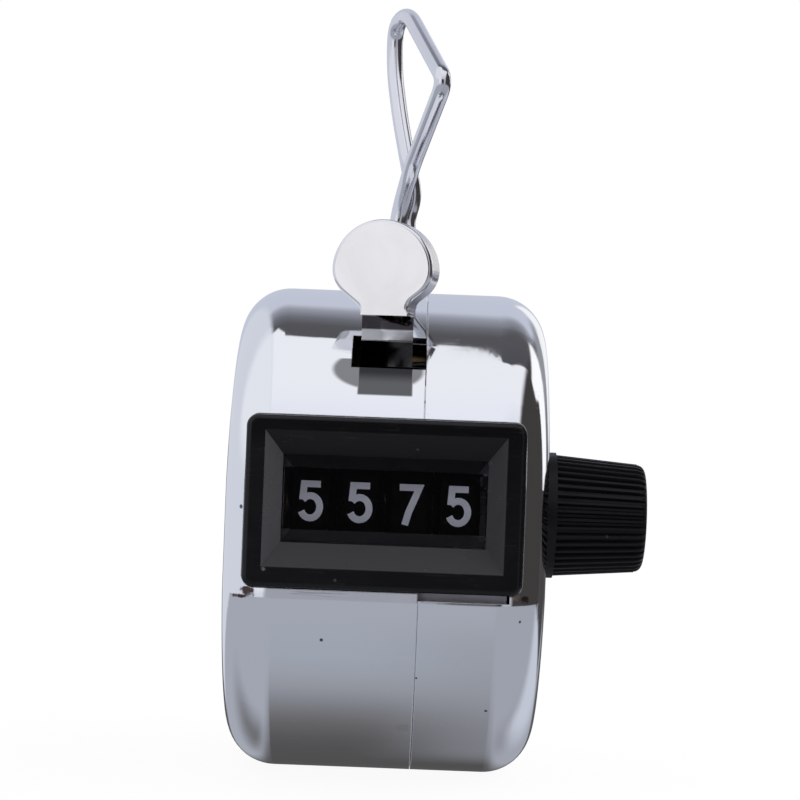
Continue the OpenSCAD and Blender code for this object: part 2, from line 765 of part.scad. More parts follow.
tail_angle = atan2(3, tail_y - pivot_y);
spring_low = pivot_z + (spring_y - pivot_y) * tan(tail_angle) + lever_t / 2 / cos(tail_angle)
    + spring_d / 2 * tan(tail_angle) + 0.05;
spring_high = bridge_z - 0.05;
coil_gap = (spring_high - spring_low - spring_wire) / spring_turns - spring_wire;

module lever_spring() {
    echo(str("least gap between the spring's turns: ", coil_gap, " mm"));
    color([0.55, 0.55, 0.57])
        coil(strip_x, spring_y, spring_low, spring_high, spring_d, spring_wire, spring_turns);
}

module drive_pawl() {
    tip = [axle_y - ratchet_d / 2 + 0.1, axle_z + 2.3];
    color([0.58, 0.58, 0.6]) difference() {
        union() {
            side(pawl_x) linear_extrude(pawl_w) polygon([
                [pawl_y - 1, pawl_z], [pawl_y - 0.5, tip[1] + 1.2], tip, [tip[0] + 0.25, tip[1] + 0.5],
                [pawl_y + 1, pawl_z]
            ]);
            rod(pawl_x, pawl_y, pawl_z, 1.25, pawl_w);
        }
        rod(pawl_x - 1, pawl_y, pawl_z, pawl_pin_d / 2 + run_gap, pawl_w + 2);
    }
}

module pawl_pin() {
    color([0.7, 0.7, 0.72]) {
        rod(pawl_x - 0.1, pawl_y, pawl_z, pawl_pin_d / 2, arm_x + lever_t + 0.1 - pawl_x);
        rod(pawl_x - 0.5, pawl_y, pawl_z, pawl_pin_d / 2 + 0.35, 0.4);
    }
}

// Leaf that keeps the ratchet from turning back, riveted to the lower front tie rod's spacer.
module stop_spring() {
    root = rod_places[2];
    tip = [axle_y - 0.4, axle_z - ratchet_d / 2 - 0.35];
    color([0.55, 0.55, 0.57]) bent_strip(
        [[root[0], root[1] + spacer_d / 2 + 0.2], [axle_y + 0.35, axle_z - 10.35], tip],
        0.3, ratchet_x + 0.1, 0.9);
}

function unit(v) = v / norm(v);

// Points of the bend at path point i: an arc of radius r that touches both of its legs.
function bend_points(p, i, r) =
    let (
        leg_in = unit(p[i] - p[i - 1]),
        leg_out = unit(p[i + 1] - p[i]),
        turn = acos(leg_in * leg_out),
        inward = unit(cross(cross(leg_in, leg_out), leg_in)),
        start = p[i] - leg_in * r * tan(turn / 2),
        steps = max(2, ceil(turn / 14))
    )
    [
        for (k = [0:steps]) let (a = turn * k / steps)
            start + leg_in * r * sin(a) + inward * r * (1 - cos(a))
    ];

// Way of the wire at point i of its line.
function way(line, i) =
    unit(line[min(i + 1, len(line) - 1)] - line[max(i - 1, 0)]);

// One direction square to the wire for every point, carried along without twist.
function carried(line, i, side_way) =
    i == len(line) ? []
    : let (next = unit(side_way - way(line, i) * (side_way * way(line, i))))
        concat([next], carried(line, i + 1, next));

// Round wire along a path, with each bend turned to its own radius.
module bent_wire(path, bends, d, sides) {
    line = concat(
        [path[0]],
        [for (i = [1:len(path) - 2]) each bend_points(path, i, bends[i])],
        [path[len(path) - 1]]
    );
    sideways = carried(line, 0, [0, 0.6, 0.8]);
    last_ring = len(line) - 1;
    points = [
        for (i = [0:last_ring], k = [0:sides - 1])
            let (a = 360 / sides * k, u = sideways[i], v = cross(way(line, i), u))
            line[i] + d / 2 * (u * cos(a) + v * sin(a))
    ];
    polyhedron(points, tube_faces(last_ring, sides));
}

// Triangles of a closed tube whose rings of points follow each other.
function tube_faces(last_ring, sides) = concat(
    [
        for (i = [0:last_ring - 1], k = [0:sides - 1], half = [0, 1])
            let (a = i * sides + k, b = i * sides + (k + 1) % sides)
            half == 0 ? [a, a + sides, b] : [b, a + sides, b + sides]
    ],
    [for (k = [1:sides - 2]) [0, k, k + 1]],
    [for (k = [1:sides - 2]) [last_ring * sides, last_ring * sides + k + 1, last_ring * sides + k]]
);

// Place in the ring's own plane: u towards the window side, v across it, h above the drum's top.
function ring_point(u, v, h) = [
    tail_x + tail_gap / 2 + u * sin(ring_yaw) + v * cos(ring_yaw),
    ring_y - u * cos(ring_yaw) + v * sin(ring_yaw),
    case_r + h
];

module finger_ring() {
    right_x = tail_x + tail_gap;
    path = [
        [tail_x - foot_len, ring_y, foot_z],
        [tail_x, ring_y, foot_z],
        [tail_x, ring_y, case_r + 5.2],
        ring_point(-0.2, -0.6, 8),
        ring_point(1.6, 0, 12.1),
        ring_point(13.7, 0, 18.95),
        ring_point(-2.4, 0, 27.5),
        ring_point(-8.1, 0, 27),
        ring_point(-7.4, 0, 22.2),
        ring_point(-4, 0, 17.2),
        ring_point(-0.9, 0.35, 12.2),
        ring_point(-1.2, 1.05, 9.6),
        ring_point(-1.6, 0.4, 7),
        [right_x, ring_y, case_r + 3.5],
        [right_x, ring_y, foot_z],
        [right_x + foot_len, ring_y, foot_z]
    ];
    bends = [0, foot_bend, 3, 3, 4, 1.6, 6, 2.6, 6, 6, 3, 2, 2, 2.5, foot_bend, 0];
    color([0.7, 0.7, 0.74]) bent_wire(path, bends, wire_d, 16);
}

// Cradle under the case's top that carries the ring's feet.
module ring_saddle() {
    w = 2 * foot_len + tail_gap + 2.4;
    depth = wire_d + 2.5;
    floor_z = foot_z - wire_d / 2 - run_gap;
    x = tail_x + tail_gap / 2 - w / 2;
    clear_w = tail_gap + 2 * foot_bend + 0.4;
    color([0.62, 0.62, 0.64]) difference() {
        intersection() {
            translate([x, ring_y - depth / 2, floor_z - plate_t]) cube([w, depth, 4]);
            rod(x - 1, 0, 0, case_r - lap_inset, w + 2);
        }
        rod(x - 1, ring_y, foot_z, wire_d / 2 + run_gap, w + 2);
        translate([x - 1, ring_y - wire_d / 2 - run_gap, foot_z]) cube([w + 2, wire_d + 2 * run_gap, 4]);
        translate([tail_x + tail_gap / 2 - clear_w / 2, ring_y - depth, floor_z])
            cube([clear_w, 2 * depth, 4]);
    }
}

case_left();
case_right();
window_frame();
window_pane();
window_rail();
frame_plate_left();
frame_plate_right();
tie_rods();
spacer_tubes();
frame_bridge();
main_shaft();
shaft_clip();
shaft_washer();
knob_bush();
knob_insert();
reset_knob();
wheel_thousands();
wheel_hundreds();
wheel_tens();
wheel_units();
ratchet_wheel();
pinion_thousands();
pinion_hundreds();
pinion_tens();
pinion_shaft();
thumb_lever();
lever_pin();
lever_spring();
drive_pawl();
pawl_pin();
stop_spring();
finger_ring();
ring_saddle();
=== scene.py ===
"""Looks of a hand tally counter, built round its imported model."""

import json
import math

import bmesh
import bpy
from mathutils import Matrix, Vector


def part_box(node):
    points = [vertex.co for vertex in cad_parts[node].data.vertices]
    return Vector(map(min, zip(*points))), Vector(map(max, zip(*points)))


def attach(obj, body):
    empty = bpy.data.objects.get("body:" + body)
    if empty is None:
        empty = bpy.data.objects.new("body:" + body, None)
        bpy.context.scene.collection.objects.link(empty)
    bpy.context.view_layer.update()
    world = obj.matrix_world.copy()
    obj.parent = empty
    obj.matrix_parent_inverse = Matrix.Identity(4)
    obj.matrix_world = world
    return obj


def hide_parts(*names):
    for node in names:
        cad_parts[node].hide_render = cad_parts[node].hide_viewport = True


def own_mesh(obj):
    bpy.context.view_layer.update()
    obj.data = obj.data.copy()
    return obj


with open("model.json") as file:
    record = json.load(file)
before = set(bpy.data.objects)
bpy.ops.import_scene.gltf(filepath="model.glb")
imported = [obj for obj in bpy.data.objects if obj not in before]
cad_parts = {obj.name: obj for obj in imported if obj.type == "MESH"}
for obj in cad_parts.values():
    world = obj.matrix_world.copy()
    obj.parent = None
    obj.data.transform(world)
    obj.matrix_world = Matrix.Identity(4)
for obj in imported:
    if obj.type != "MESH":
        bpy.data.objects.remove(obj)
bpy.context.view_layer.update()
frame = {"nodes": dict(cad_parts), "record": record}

MM = 0.001
NODES = frame["nodes"]

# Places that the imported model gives, in metres
wheel_low, wheel_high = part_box("wheel_units")
AXLE_Y = (wheel_low[1] + wheel_high[1]) / 2
AXLE_Z = (wheel_low[2] + wheel_high[2]) / 2
WHEEL_R = (wheel_high[1] - wheel_low[1]) / 2
frame_low, frame_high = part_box("window_frame")
WINDOW_X = (frame_low[0] + frame_high[0]) / 2
case_low, case_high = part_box("case_left")
DRUM_R = (case_high[2] - case_low[2]) / 2

# Window's bevel, where its sides and lower face get painted light: height of its middle, outer width and
# height, and width for each unit of depth
BEVEL_Z = (frame_low[2] + frame_high[2]) / 2 + 0.00025
BEVEL_W, BEVEL_H = 0.0209, 0.0118
BEVEL_SIDE, BEVEL_TOP = 0.912, 1.235
# Worn corner of the window frame: in from the frame's lower left corner, and radius in mm
WORN_INSET, WORN_RADIUS = (0.0019, 0.0002, 0.0016), 0.33
# Lever: middles of pad and strip, strip's width, and heights of the slot's edge and of the step's folds
PAD_X, STRIP_X, STRIP_W = 0.0130, 0.01365, 0.0048
STRIP_EXIT, STEP_FOOT, STEP_LOW, STEP_HIGH = 0.0176, 0.0184, 0.01852, 0.01972
# Painted reflection of the lever in the chrome below the slot: heights of the strip's part and of its fading,
# then the pad's oval as x, z, half width and half height, and the height where the oval is cut
REFLECTION_LOW, REFLECTION_HIGH, REFLECTION_FADE = 0.01265, 0.0170, (0.0136, 0.0148)
REFLECTION_OVAL, REFLECTION_CUT = (PAD_X, 0.01485, 0.0040, 0.00175), 0.0158


# Node tools

def add(tree, kind, **settings):
    node = tree.nodes.new(kind)
    for key, value in settings.items():
        setattr(node, key, value)
    return node


def wire(tree, source, target):
    tree.links.new(source, target)


def feed(tree, socket, value):
    """Links a socket, or sets its value when it is a plain one."""
    if isinstance(value, bpy.types.NodeSocket):
        wire(tree, value, socket)
    else:
        socket.default_value = value


def calc(tree, operation, first, second=0.0, clamp=False):
    node = add(tree, "ShaderNodeMath", operation=operation, use_clamp=clamp)
    feed(tree, node.inputs[0], first)
    feed(tree, node.inputs[1], second)
    return node.outputs[0]


def step_between(tree, value, low, high, start=0.0, end=1.0):
    """Smooth step of a value from start at low to end at high."""
    node = add(tree, "ShaderNodeMapRange", interpolation_type="SMOOTHSTEP")
    feed(tree, node.inputs["Value"], value)
    node.inputs["From Min"].default_value = low
    node.inputs["From Max"].default_value = high
    node.inputs["To Min"].default_value = start
    node.inputs["To Max"].default_value = end
    return node.outputs["Result"]


def blend_colour(tree, share, first, second):
    node = add(tree, "ShaderNodeMix", data_type="RGBA")
    feed(tree, node.inputs["Factor"], share)
    feed(tree, node.inputs[6], first)
    feed(tree, node.inputs[7], second)
    return node.outputs[2]


def mixed(tree, share, first, second):
    """Blend of two shaders."""
    mix = add(tree, "ShaderNodeMixShader")
    feed(tree, mix.inputs["Fac"], share)
    wire(tree, first, mix.inputs[1])
    wire(tree, second, mix.inputs[2])
    return mix.outputs[0]


def new_group(name, inputs, output):
    """Node group with a Vector input, plain number inputs and one number output."""
    tree = bpy.data.node_groups.new(name, "ShaderNodeTree")
    tree.interface.new_socket("Vector", in_out="INPUT", socket_type="NodeSocketVector")
    for label, value in inputs.items():
        socket = tree.interface.new_socket(label, in_out="INPUT", socket_type="NodeSocketFloat")
        socket.default_value = value
    tree.interface.new_socket(output, in_out="OUTPUT", socket_type="NodeSocketFloat")
    return tree, add(tree, "NodeGroupInput"), add(tree, "NodeGroupOutput")


def make_hairlines():
    """Fine straight scratches in two directions, each only here and there."""
    tree, given, result = new_group("hairlines", {"Scale": 400.0, "Share": 0.06}, "Mask")
    lines = None
    for turn in ((0.0, 0.35, 0.1), (0.3, -1.0, 0.2)):
        place = add(tree, "ShaderNodeMapping")
        place.inputs["Rotation"].default_value = turn
        place.inputs["Scale"].default_value = (0.06, 1.0, 2.2)
        wire(tree, given.outputs["Vector"], place.inputs["Vector"])
        grain = add(tree, "ShaderNodeTexNoise")
        grain.inputs["Detail"].default_value = 2.0
        wire(tree, place.outputs["Vector"], grain.inputs["Vector"])
        wire(tree, given.outputs["Scale"], grain.inputs["Scale"])
        depth = calc(tree, "ABSOLUTE", calc(tree, "SUBTRACT", grain.outputs["Fac"], 0.5))
        line = calc(tree, "LESS_THAN", depth, calc(tree, "MULTIPLY", given.outputs["Share"], 0.1))
        lines = line if lines is None else calc(tree, "MAXIMUM", lines, line)
    patch = add(tree, "ShaderNodeTexNoise")
    wire(tree, given.outputs["Vector"], patch.inputs["Vector"])
    patch.inputs["Scale"].default_value = 260.0
    wire(tree, calc(tree, "MULTIPLY", lines, step_between(tree, patch.outputs["Fac"], 0.5, 0.62)),
         result.inputs["Mask"])
    return tree


def make_specks():
    """Small round spots: pits, dust or grit."""
    tree, given, result = new_group("specks", {"Scale": 600.0, "Size": 0.12, "Share": 0.2}, "Mask")
    cells = add(tree, "ShaderNodeTexVoronoi")
    wire(tree, given.outputs["Vector"], cells.inputs["Vector"])
    wire(tree, given.outputs["Scale"], cells.inputs["Scale"])
    pick = add(tree, "ShaderNodeSeparateColor")
    wire(tree, cells.outputs["Color"], pick.inputs["Color"])
    kept = calc(tree, "LESS_THAN", pick.outputs["Red"], given.outputs["Share"])
    size = calc(tree, "MULTIPLY", given.outputs["Size"], calc(tree, "ADD", pick.outputs["Green"], 0.4))
    edge = calc(tree, "SUBTRACT", 1.0, calc(tree, "DIVIDE", cells.outputs["Distance"], size), clamp=True)
    wire(tree, calc(tree, "MULTIPLY", kept, step_between(tree, edge, 0.0, 0.5)), result.inputs["Mask"])
    return tree


def make_smears():
    """Soft cloudy patches, as fingers and wiping leave."""
    tree, given, result = new_group("smears", {"Scale": 120.0}, "Mask")
    cloud = add(tree, "ShaderNodeTexNoise")
    cloud.inputs["Detail"].default_value = 4.0
    cloud.inputs["Distortion"].default_value = 0.6
    wire(tree, given.outputs["Vector"], cloud.inputs["Vector"])
    wire(tree, given.outputs["Scale"], cloud.inputs["Scale"])
    wire(tree, step_between(tree, cloud.outputs["Fac"], 0.35, 0.7), result.inputs["Mask"])
    return tree


def make_spot():
    """One ragged round spot about a place, for stains and worn corners."""
    inputs = {"X": 0.0, "Y": 0.0, "Z": 0.0, "Radius": 0.001}
    tree, given, result = new_group("spot", inputs, "Mask")
    centre = add(tree, "ShaderNodeCombineXYZ")
    for axis in "XYZ":
        wire(tree, given.outputs[axis], centre.inputs[axis])
    away = add(tree, "ShaderNodeVectorMath", operation="DISTANCE")
    wire(tree, given.outputs["Vector"], away.inputs[0])
    wire(tree, centre.outputs[0], away.inputs[1])
    rag = add(tree, "ShaderNodeTexNoise")
    rag.inputs["Scale"].default_value = 1800.0
    wire(tree, given.outputs["Vector"], rag.inputs["Vector"])
    reach = calc(tree, "DIVIDE", away.outputs["Value"], given.outputs["Radius"])
    ragged = calc(tree, "ADD", reach, calc(tree, "SUBTRACT", rag.outputs["Fac"], 0.5))
    wire(tree, step_between(tree, ragged, 0.5, 1.0, 1.0, 0.0), result.inputs["Mask"])
    return tree


HAIRLINES = make_hairlines()
SPECKS = make_specks()
SMEARS = make_smears()
SPOT = make_spot()


def place_group(tree, group, vector, **values):
    node = add(tree, "ShaderNodeGroup", node_tree=group)
    wire(tree, vector, node.inputs["Vector"])
    for key, value in values.items():
        node.inputs[key].default_value = value
    return node.outputs[0]


class Finish:
    """A material under way: its tree, its shader and the object's own coordinates."""

    def __init__(self, name, **plain):
        self.material = bpy.data.materials.new(name)
        self.material.use_nodes = True
        self.tree = self.material.node_tree
        self.shader = self.tree.nodes["Principled BSDF"]
        self.place = add(self.tree, "ShaderNodeTexCoord").outputs["Object"]
        for key, value in plain.items():
            self.shader.inputs[key.replace("_", " ").title().replace("Ior", "IOR")].default_value = value

    def group(self, group, **values):
        return place_group(self.tree, group, self.place, **values)

    def colour(self, clean, *layers):
        """Base colour with layers of (mask, strength, colour) over it."""
        shown = clean
        for mask, strength, over in layers:
            shown = blend_colour(self.tree, calc(self.tree, "MULTIPLY", mask, strength), shown, over)
        feed(self.tree, self.shader.inputs["Base Color"], shown)

    def rough(self, smooth, *layers):
        """Roughness with layers of (mask, added roughness)."""
        shown = smooth
        for mask, more in layers:
            shown = calc(self.tree, "ADD", shown, calc(self.tree, "MULTIPLY", mask, more))
        feed(self.tree, self.shader.inputs["Roughness"], shown)

    def relief(self, height, depth, strength=1.0, edge=0.0):
        """Bump from a height mask, over edges that are softened by the given radius."""
        bump = add(self.tree, "ShaderNodeBump")
        bump.inputs["Distance"].default_value = depth
        bump.inputs["Strength"].default_value = strength
        wire(self.tree, height, bump.inputs["Height"])
        if edge:
            soft = add(self.tree, "ShaderNodeBevel", samples=4)
            soft.inputs["Radius"].default_value = edge
            wire(self.tree, soft.outputs["Normal"], bump.inputs["Normal"])
        wire(self.tree, bump.outputs["Normal"], self.shader.inputs["Normal"])

    def spots(self, places):
        """One mask of ragged spots at (x, y, z, radius), in mm."""
        shown = 0.0
        for x, y, z, radius in places:
            spot = self.group(SPOT, X=x * MM, Y=y * MM, Z=z * MM, Radius=radius * MM)
            shown = calc(self.tree, "MAXIMUM", spot, shown)
        return shown

    def oval(self, middle, height, wide, tall):
        """Squared distance from the middle of an oval on the front, one at its rim."""
        x, _, z = self.axes()
        aside = calc(self.tree, "DIVIDE", calc(self.tree, "SUBTRACT", x, middle), wide)
        aloft = calc(self.tree, "DIVIDE", calc(self.tree, "SUBTRACT", z, height), tall)
        return calc(self.tree, "ADD", calc(self.tree, "MULTIPLY", aside, aside),
                    calc(self.tree, "MULTIPLY", aloft, aloft))

    def rust(self, places):
        """Ragged ovals on the front, from (x, z, half width, half height) in mm."""
        rag = calc(self.tree, "MULTIPLY", calc(self.tree, "SUBTRACT", self.noise(2000.0, 4.0), 0.5), 4.0)
        shown = 0.0
        for place in places:
            reach = calc(self.tree, "ADD", self.oval(*(size * MM for size in place)), rag)
            shown = calc(self.tree, "MAXIMUM", step_between(self.tree, reach, 1.35, 0.35), shown)
        front = calc(self.tree, "LESS_THAN", self.axes()[1], -0.8 * DRUM_R)
        return calc(self.tree, "MULTIPLY", shown, front)

    def axes(self):
        place = add(self.tree, "ShaderNodeSeparateXYZ")
        wire(self.tree, self.place, place.inputs[0])
        return place.outputs

    def within(self, value, low, high, soft=0.00005):
        """One between low and high, nought outside."""
        return calc(self.tree, "MULTIPLY", step_between(self.tree, value, low - soft, low + soft),
                    step_between(self.tree, value, high + soft, high - soft))

    def painted_lever_reflection(self):
        """Painted reflection of the lever in the chrome below its slot, laid into the base colour as a dark
        patch.
        """
        x, y, z = self.axes()
        strip = calc(self.tree, "MULTIPLY", self.within(z, REFLECTION_LOW, REFLECTION_HIGH, 0.0001),
                     self.within(x, STRIP_X - STRIP_W / 2, STRIP_X + STRIP_W / 2, 0.0001))
        strip = calc(self.tree, "MULTIPLY", strip, step_between(self.tree, z, *REFLECTION_FADE, 0.87, 0.97))
        oval = step_between(self.tree, self.oval(*REFLECTION_OVAL), 1.15, 0.85, 0.0, 0.74)
        oval = calc(self.tree, "MULTIPLY", oval,
                    step_between(self.tree, z, REFLECTION_CUT + 0.00005, REFLECTION_CUT - 0.00005))
        front = calc(self.tree, "LESS_THAN", y, -0.6 * DRUM_R)
        return calc(self.tree, "MULTIPLY", calc(self.tree, "MAXIMUM", strip, oval), front)

    def noise(self, scale, detail=2.0, stretch=(1, 1, 1)):
        place = add(self.tree, "ShaderNodeMapping")
        place.inputs["Scale"].default_value = stretch
        wire(self.tree, self.place, place.inputs["Vector"])
        node = add(self.tree, "ShaderNodeTexNoise")
        node.inputs["Scale"].default_value = scale
        node.inputs["Detail"].default_value = detail
        wire(self.tree, place.outputs["Vector"], node.inputs["Vector"])
        return node.outputs["Fac"]


def grey(value):
    return (value, value, value, 1.0)


# Pits in the plating: x, y, z and radius, in mm
PITS = [(8.97, -20.74, -8.72, 0.19), (17.33, -19.11, -11.88, 0.14), (26.10, -20.94, -6.48, 0.17),
        (23.62, -16.95, -14.79, 0.17), (1.61, -20.84, 2.61, 0.24), (17.20, -17.99, 12.21, 0.20)]
# Rust and bare copper at the window's lower corners: x, z, half width and half height, in mm
RUST = [(2.45, -4.68, 0.70, 0.45), (1.70, -5.12, 0.75, 0.18), (26.35, -4.55, 0.50, 0.32)]
COPPER = [(25.65, -4.25, 0.40, 0.40)]
# Smudge low on the drum: x, y, z and radius, in mm
SMUDGE = (16.39, -14.91, -16.84, 0.75)


def chrome_plate():
    f = Finish("chrome_plate", metallic=1.0)
    pits = f.group(SPECKS, Scale=300.0, Size=0.06, Share=0.10)
    pits = calc(f.tree, "MAXIMUM", pits, f.spots(PITS))
    smears = f.group(SMEARS, Scale=90.0)
    lines = f.group(HAIRLINES, Scale=500.0, Share=0.05)
    rust = f.rust(RUST)
    copper = f.rust(COPPER)
    smudge = f.spots([SMUDGE])
    painted_reflection = f.painted_lever_reflection()
    # painted reflection: the lever's mirror image below the slot is painted into the base colour as a
    # near-black patch
    f.colour((0.90, 0.91, 0.93, 1), (painted_reflection, 1.0, (0.01, 0.01, 0.012, 1)), (smudge, 0.22, grey(0.3)),
             (rust, 0.95, (0.050, 0.020, 0.016, 1)), (copper, 0.85, (0.36, 0.23, 0.19, 1)),
             (pits, 0.9, grey(0.03)))
    f.rough(0.03, (smears, 0.035), (lines, 0.10), (rust, 0.35), (copper, 0.3), (pits, 0.3), (smudge, 0.1))
    waves = calc(f.tree, "ADD", f.noise(110.0, 1.0), calc(f.tree, "MULTIPLY", f.noise(1500.0, 1.0), 0.03))
    f.relief(waves, 0.0001, 0.3, edge=0.00012)
    return f.material


def nickel_sheet():
    f = Finish("nickel_sheet", metallic=1.0)
    smears = f.group(SMEARS, Scale=200.0)
    grit = f.group(SPECKS, Scale=900.0, Size=0.10, Share=0.05)
    height = f.axes()[2]
    # painted reflection: a dark band between the step's folds stands in for what the slope mirrors
    painted_step_reflection = f.within(height, STEP_LOW, STEP_HIGH, 0.0001)
    jog = f.within(height, STRIP_EXIT - 0.0001, STEP_FOOT, 0.0001)
    # painted shade: near black below the slot's edge, where the strip goes down into the slot's shadow
    painted_slot_shade = step_between(f.tree, height, STRIP_EXIT, STRIP_EXIT - 0.0002)
    # the last two layers are painted light: a painted reflection on the step's slope and painted shade in the
    # slot
    f.colour((0.90, 0.89, 0.90, 1), (grit, 0.35, grey(0.5)), (smears, 0.06, (0.72, 0.69, 0.67, 1)),
             (painted_step_reflection, 0.93, (0.035, 0.024, 0.026, 1)), (painted_slot_shade, 0.95, (0.015, 0.012, 0.012, 1)))
    f.rough(0.14, (smears, 0.10), (jog, 0.38))
    f.relief(f.noise(350.0), 0.00003, 0.25)
    return f.material


def window_moulding():
    f = Finish("window_moulding", specular_ior_level=0.32)
    dust = f.group(SPECKS, Scale=900.0, Size=0.12, Share=0.05)
    lines = f.group(HAIRLINES, Scale=800.0, Share=0.06)
    smears = f.group(SMEARS, Scale=160.0)
    corner = [(low + inset) / MM for low, inset in zip(frame_low, WORN_INSET)]
    worn = f.spots([(*corner, WORN_RADIUS)])
    x, y, z = f.axes()
    aside = calc(f.tree, "ABSOLUTE", calc(f.tree, "SUBTRACT", x, WINDOW_X))
    aloft = calc(f.tree, "ABSOLUTE", calc(f.tree, "SUBTRACT", z, BEVEL_Z))
    side_depth = calc(f.tree, "DIVIDE", calc(f.tree, "SUBTRACT", BEVEL_W / 2, aside), BEVEL_SIDE)
    top_depth = calc(f.tree, "DIVIDE", calc(f.tree, "SUBTRACT", BEVEL_H / 2, aloft), BEVEL_TOP)
    past_side = step_between(f.tree, side_depth, -0.00002, 0.00004)
    past_top = step_between(f.tree, top_depth, -0.00002, 0.00004)
    # painted light: the bevel's sides get a lighter base colour, as if lit
    painted_light_cheeks = calc(f.tree, "MULTIPLY", calc(f.tree, "LESS_THAN", side_depth, top_depth), past_side)
    # painted light: the bevel's lower face gets a lighter base colour, as if lit from above
    painted_light_sill = calc(f.tree, "MULTIPLY", calc(f.tree, "LESS_THAN", z, BEVEL_Z),
                calc(f.tree, "MULTIPLY", past_top, past_side))
    grain = f.noise(900.0, 3.0, (0.1, 1, 1.6))
    # painted light: the bevel's lower face and sides are lighter than the frame's near-black colour
    f.colour((0.0020, 0.0020, 0.0024, 1), (painted_light_sill, 1.0, (0.020, 0.020, 0.023, 1)),
             (painted_light_cheeks, 1.0, (0.042, 0.042, 0.047, 1)), (dust, 0.15, grey(0.2)),
             (lines, 0.08, grey(0.08)), (worn, 0.3, grey(0.3)))
    f.rough(0.17, (smears, 0.08), (dust, 0.2), (worn, 0.2), (grain, 0.08))
    f.relief(grain, 0.00002, 0.3, edge=0.00012)
    return f.material


def knob_moulding():
    f = Finish("knob_moulding", specular_ior_level=0.22)
    dust = f.group(SPECKS, Scale=1300.0, Size=0.18, Share=0.10)
    smears = f.group(SMEARS, Scale=260.0)
    f.colour((0.0035, 0.0035, 0.0042, 1), (dust, 0.12, grey(0.2)))
    f.rough(0.38, (smears, 0.15), (dust, 0.2))
    f.relief(f.noise(2600.0), 0.00003, 0.4)
    return f.material


def wheel_moulding():
    f = Finish("wheel_moulding", specular_ior_level=0.03)
    dust = f.group(SPECKS, Scale=1500.0, Size=0.2, Share=0.06)
    f.colour((0.0015, 0.0015, 0.0018, 1), (dust, 0.15, grey(0.1)))
    f.rough(0.6, (dust, 0.2))
    f.relief(f.noise(3000.0), 0.00002, 0.3)
    return f.material


def numeral_print():
    f = Finish("numeral_print", specular_ior_level=0.3)
    smears = f.group(SMEARS, Scale=900.0)
    grit = f.group(SPECKS, Scale=2600.0, Size=0.2, Share=0.12)
    f.colour((0.88, 0.89, 0.96, 1), (smears, 0.2, (0.72, 0.72, 0.78, 1)), (grit, 0.3, grey(0.4)))
    f.rough(0.5, (smears, 0.15))
    f.relief(f.noise(4000.0), 0.00001, 0.3)
    return f.material


def clear_pane():
    f = Finish("clear_pane", metallic=0.0, transmission_weight=1.0, ior=1.45)
    dust = f.group(SPECKS, Scale=1100.0, Size=0.10, Share=0.04)
    f.colour((0.97, 0.97, 0.98, 1))
    f.rough(0.0, (dust, 0.4))
    return f.material


def plain_metal(name, colour, roughness, grain, stretch=(1, 1, 1)):
    """Inner sheet, turned or drawn metal with its own grain."""
    f = Finish(name, metallic=1.0)
    smears = f.group(SMEARS, Scale=240.0)
    lines = f.noise(grain, 3.0, stretch)
    f.colour(colour, (smears, 0.25, tuple(0.7 * c for c in colour[:3]) + (1,)))
    f.rough(roughness, (smears, 0.12), (lines, 0.1))
    f.relief(lines, 0.00002, 0.25)
    return f.material


def ring_wire():
    f = Finish("ring_wire", metallic=1.0)
    smears = f.group(SMEARS, Scale=150.0)
    drawn = f.noise(500.0, 2.0, (1, 1, 0.15))
    f.colour((0.82, 0.82, 0.86, 1), (smears, 0.12, (0.66, 0.65, 0.68, 1)))
    f.rough(0.10, (smears, 0.05), (drawn, 0.04))
    f.relief(drawn, 0.000004, 0.1)
    return f.material


def ivory_moulding():
    f = Finish("ivory_moulding", specular_ior_level=0.4)
    smears = f.group(SMEARS, Scale=700.0)
    f.colour((0.72, 0.67, 0.52, 1), (smears, 0.3, (0.55, 0.49, 0.36, 1)))
    f.rough(0.45, (smears, 0.1))
    f.relief(f.noise(2500.0), 0.00002, 0.3)
    return f.material


FINISHES = {
    "chrome": chrome_plate(),
    "nickel": nickel_sheet(),
    "frame_plastic": window_moulding(),
    "clear_pane": clear_pane(),
    "knob_plastic": knob_moulding(),
    "wheel_plastic": wheel_moulding(),
    "pinion_plastic": ivory_moulding(),
    "ring_wire": ring_wire(),
    "shaft_steel": plain_metal("shaft_steel", (0.60, 0.60, 0.62, 1), 0.25, 1400.0, (0.1, 1, 1)),
    "plate_steel": plain_metal("plate_steel", (0.58, 0.57, 0.60, 1), 0.35, 700.0, (1, 1, 0.2)),
    "spring_steel": plain_metal("spring_steel", (0.30, 0.30, 0.32, 1), 0.3, 1200.0),
    "brass": plain_metal("brass", (0.72, 0.55, 0.26, 1), 0.28, 1300.0, (0.1, 1, 1)),
}

for row in frame["record"]["subparts"]:
    node = NODES[row["node"]]
    node.data.materials.clear()
    node.data.materials.append(FINISHES[row["material_slot"]])


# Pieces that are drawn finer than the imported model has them

def linked(name, bm):
    """Object of the scene from a bmesh."""
    mesh = bpy.data.meshes.new(name)
    bm.to_mesh(mesh)
    bm.free()
    piece = bpy.data.objects.new(name, mesh)
    bpy.context.scene.collection.objects.link(piece)
    return piece


def new_piece(name, bm, body, slot, node):
    """Smooth piece that moves with a body and stands for a CAD node."""
    for face in bm.faces:
        face.smooth = True
    piece = linked(name, bm)
    piece.data.materials.append(FINISHES[slot])
    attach(piece, body)
    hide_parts(node)
    return piece


def merged(node):
    """Bmesh of a CAD node's mesh, with its triangles joined to flat faces."""
    bm = bmesh.new()
    bm.from_mesh(NODES[node].data)
    bmesh.ops.remove_doubles(bm, verts=bm.verts, dist=0.000002)
    bmesh.ops.dissolve_limit(bm, angle_limit=math.radians(0.5), verts=bm.verts, edges=bm.edges)
    return bm


PAD_ROUNDING, PAD_STEPS = 0.00036, 5


def pad_front(bm):
    """The pad's flat face, the largest one that looks forward."""
    return max((f for f in bm.faces if f.normal.y < -0.9), key=lambda f: f.calc_area())


